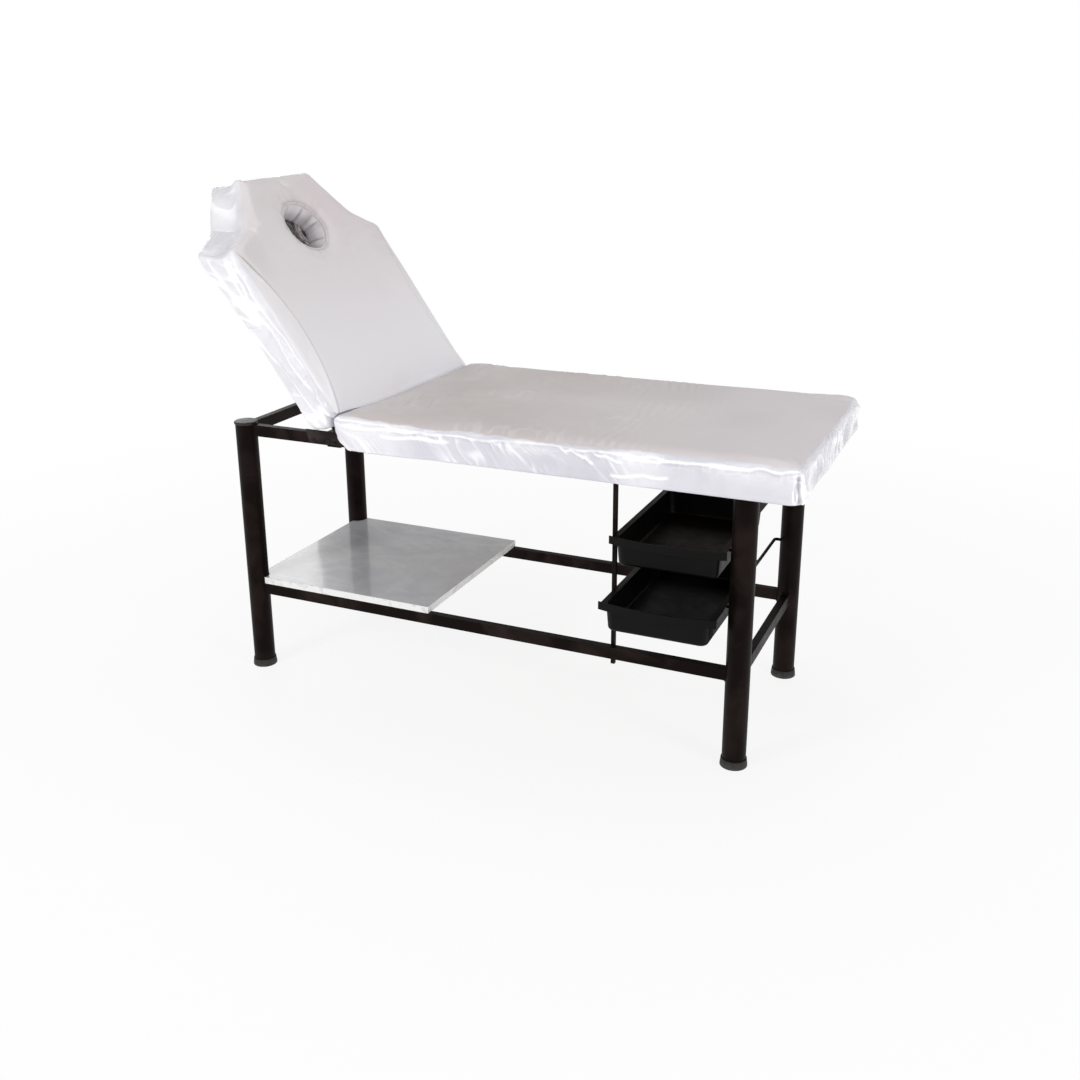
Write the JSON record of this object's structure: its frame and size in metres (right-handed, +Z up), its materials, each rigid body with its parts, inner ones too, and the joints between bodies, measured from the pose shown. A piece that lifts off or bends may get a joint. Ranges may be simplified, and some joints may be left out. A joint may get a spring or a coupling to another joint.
{
  "type": "facial treatment bed",
  "caption": "Padded treatment bed on a tube frame, with a reclining ratchet backrest with a face hole, a head-end shelf and sliding plastic trays.",
  "frame": {"origin": "on the floor, midway between the four posts", "axes": "+X to the foot end, -Y to the side the trays open to, +Z up"},
  "size_m": [1.5937, 0.7219, 1.3155],
  "materials": {
    "black_frame_paint": "satin powder coat",
    "black_rubber": "matt moulded rubber",
    "cap_plastic": "moulded plastic, fine grain",
    "shelf_laminate": "glossy melamine laminate",
    "white_edge_band": "smooth edge band",
    "plywood": "raw plywood",
    "upholstery_foam": "open-cell foam",
    "pale_vinyl": "smooth synthetic leather",
    "black_tray_plastic": "satin moulded polypropylene",
    "staple_steel": "bright wire",
    "screw_steel": "zinc plated",
    "rivet_steel": "zinc plated",
    "hinge_steel": "black painted pressed steel"
  },
  "bodies": {
    "frame": {"post_head_near": "black_frame_paint", "post_head_far": "black_frame_paint", "post_foot_near": "black_frame_paint", "post_foot_far": "black_frame_paint", "rubber_feet": "black_rubber", "head_post_caps": "cap_plastic", "foot_post_plugs": "cap_plastic", "upper_rail_near": "black_frame_paint", "upper_rail_far": "black_frame_paint", "upper_rail_head": "black_frame_paint", "upper_rail_foot": "black_frame_paint", "lower_rail_near": "black_frame_paint", "lower_rail_far": "black_frame_paint", "lower_rail_head": "black_frame_paint", "lower_rail_foot": "black_frame_paint", "hinge_cross_member": "black_frame_paint", "seat_cross_rail": "black_frame_paint", "backrest_bumper": "black_rubber", "shelf_board": "shelf_laminate", "shelf_edge_band": "white_edge_band", "shelf_screws": "screw_steel", "seat_screws": "screw_steel", "seat_board": "plywood", "seat_foam": "upholstery_foam", "seat_cover": "pale_vinyl", "seat_staples": "staple_steel", "hinge_plate_near": "hinge_steel", "hinge_plate_far": "hinge_steel", "hinge_cover_near": "hinge_steel", "hinge_cover_far": "hinge_steel", "pivot_rivet_near": "rivet_steel", "pivot_rivet_far": "rivet_steel", "pawl_rivet_near": "rivet_steel", "pawl_rivet_far": "rivet_steel", "pawl_spring_near": "hinge_steel", "pawl_spring_far": "hinge_steel", "hinge_bolts_near": "screw_steel", "hinge_bolts_far": "screw_steel", "tray_upright_near": "black_frame_paint", "tray_upright_far": "black_frame_paint", "upper_guide_rod_left": "black_frame_paint", "upper_guide_rod_right": "black_frame_paint", "lower_guide_rod_left": "black_frame_paint", "lower_guide_rod_right": "black_frame_paint"},
    "backrest": {"backrest_board": "plywood", "backrest_foam": "upholstery_foam", "backrest_cover": "pale_vinyl", "face_hole_sleeve": "pale_vinyl", "backrest_staples": "staple_steel", "arm_screws": "screw_steel", "ratchet_arm_near": "hinge_steel", "ratchet_arm_far": "hinge_steel"},
    "near_pawl": {"pawl_near": "hinge_steel"},
    "far_pawl": {"pawl_far": "hinge_steel"},
    "upper_tray": {"upper_tray": "black_tray_plastic"},
    "lower_tray": {"lower_tray": "black_tray_plastic"}
  },
  "joints": [
    {"name": "backrest_tilt", "type": "hinge", "parent": "frame", "child": "backrest", "pos_m": [-0.361, 0, 0.708], "axis": [0, 1, 0], "range_deg": [-55, 7.86]},
    {"name": "near_pawl_lift", "type": "hinge", "parent": "frame", "child": "near_pawl", "pos_m": [-0.335, -0.27, 0.684], "axis": [0, 1, 0], "range_deg": [0, 11]},
    {"name": "far_pawl_lift", "type": "hinge", "parent": "frame", "child": "far_pawl", "pos_m": [-0.335, 0.27, 0.684], "axis": [0, 1, 0], "range_deg": [0, 11]},
    {"name": "upper_tray_slide", "type": "slide", "parent": "frame", "child": "upper_tray", "axis": [0, -1, 0], "range_m": [-0.004, 0.22]},
    {"name": "lower_tray_slide", "type": "slide", "parent": "frame", "child": "lower_tray", "axis": [0, -1, 0], "range_m": [-0.069, 0.155]}
  ]
}
